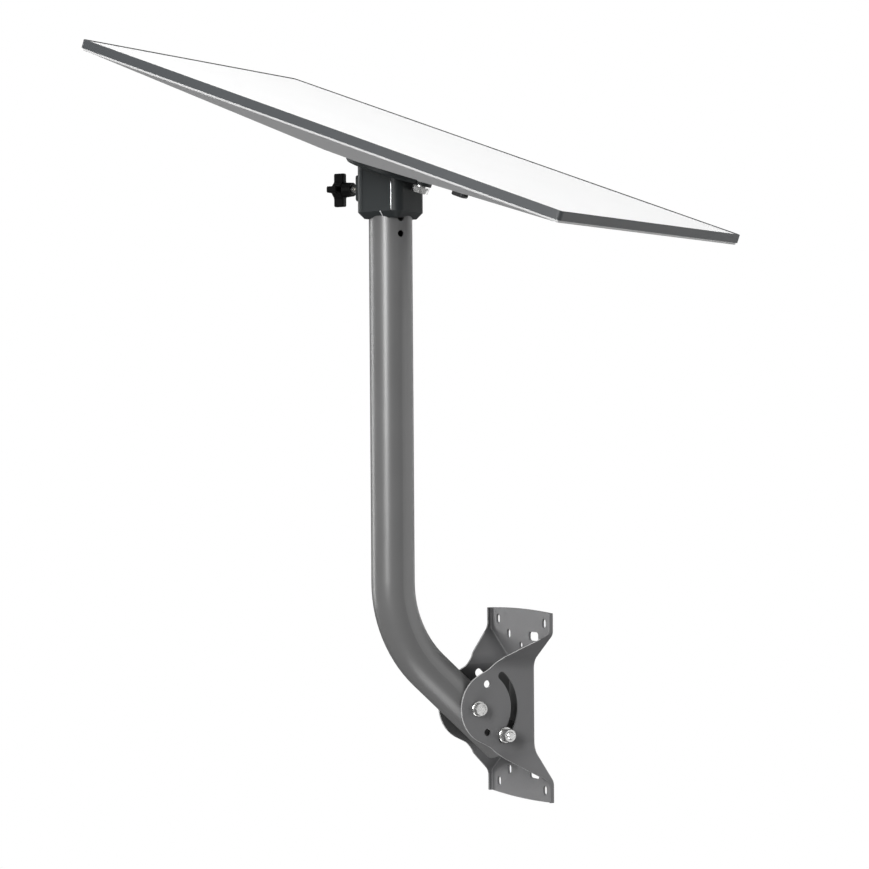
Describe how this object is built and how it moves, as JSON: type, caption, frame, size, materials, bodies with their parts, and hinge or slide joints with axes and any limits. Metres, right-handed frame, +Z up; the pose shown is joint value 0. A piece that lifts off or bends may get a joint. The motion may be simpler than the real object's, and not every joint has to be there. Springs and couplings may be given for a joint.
{
  "type": "flat-panel satellite dish on a J-shaped wall mast",
  "caption": "Flat rectangular satellite dish tilted on a clamp adapter, carried by a J-shaped tube that pivots in a folded wall bracket.",
  "frame": {"origin": "centre of the foot bracket's wall face, level with the pivot bolt and midway between the cheeks", "axes": "+Z up; the wall is the plane Y = 0 and the mast stands off along -Y; the pivot bolt runs along X"},
  "size_m": [0.6734, 0.6044, 0.7936],
  "materials": {
    "bracket_coating": "fine-textured dark grey powder coat, satin",
    "mast_coating": "smooth mid-grey powder coat, satin",
    "casting_coating": "dark blue-grey powder coat on a casting, satin",
    "knob_plastic": "black glass-filled nylon, satin",
    "black_plastic": "black moulded plastic, fine texture",
    "zinc": "bright zinc-plated steel",
    "stainless": "stainless steel",
    "brass": "machined brass",
    "radome_white": "white weatherproof plastic, satin",
    "frame_grey": "dark grey moulded plastic, satin",
    "shell_white": "light grey-white moulded plastic, fine texture",
    "seal_rubber": "black silicone rubber",
    "bare_aluminium": "bare rolled aluminium",
    "jack_shield": "tin-plated sheet metal",
    "lattice_plastic": "natural foamed plastic",
    "patch_film": "film with printed copper patches",
    "board_green": "green solder mask on glass-epoxy board",
    "chip_black": "black epoxy package",
    "pad_grey": "soft grey thermal pad",
    "ceramic": "ceramic patch antenna"
  },
  "bodies": {
    "bracket": {"foot_bracket": "bracket_coating", "pivot_washers": "zinc", "pivot_bolt": "zinc", "pivot_nut": "zinc"},
    "mast": {"j_pole": "mast_coating", "pole_end_cap": "black_plastic", "lock_washers": "zinc", "lock_spring_washer": "zinc", "lock_nut": "zinc", "lock_bolt": "zinc"},
    "head": {"adapter_socket": "casting_coating", "clamp_bush": "brass", "flange_washer": "zinc", "flange_bolt": "zinc", "radome": "radome_white", "side_frame": "frame_grey", "perimeter_gasket": "seal_rubber", "rear_shell": "shell_white", "housing_screws": "stainless", "mount_plate": "bare_aluminium", "mount_screws": "stainless", "inlet_housing": "black_plastic", "inlet_jack": "jack_shield", "inlet_seal": "seal_rubber", "vent_plug": "black_plastic", "spacer_lattice": "lattice_plastic", "patch_sheet": "patch_film", "antenna_board": "board_green", "beamformer_chips": "chip_black", "thermal_pads": "pad_grey", "heat_spreader": "bare_aluminium", "board_posts": "brass", "power_board": "board_green", "power_shield": "jack_shield", "board_link": "chip_black", "gnss_module": "ceramic"},
    "clamp_slider": {"clamp_pad": "black_plastic"},
    "clamp_screw": {"clamp_stud": "zinc", "clamp_knob": "knob_plastic"}
  },
  "joints": [
    {"name": "mast_tilt", "type": "hinge", "parent": "bracket", "child": "mast", "pos_m": [0, -0.0694, 0], "axis": [1, 0, 0], "range_deg": [-5, 88]},
    {"name": "azimuth_swivel", "type": "hinge", "parent": "mast", "child": "head", "pos_m": [0, -0.156, 0.54], "axis": [0, 0, 1], "continuous": true},
    {"name": "clamp_travel", "type": "slide", "parent": "head", "child": "clamp_slider", "axis": [-0.8738, -0.4863, 0], "range_m": [0, 0.0034]},
    {"name": "clamp_turn", "type": "hinge", "parent": "clamp_slider", "child": "clamp_screw", "pos_m": [0, -0.156, 0.542], "axis": [-0.8738, -0.4863, 0], "range_deg": [0, 990]}
  ],
  "couplings": [
    {"joint": "clamp_turn", "follows": "clamp_travel", "rad_per_m": 5026.5}
  ]
}
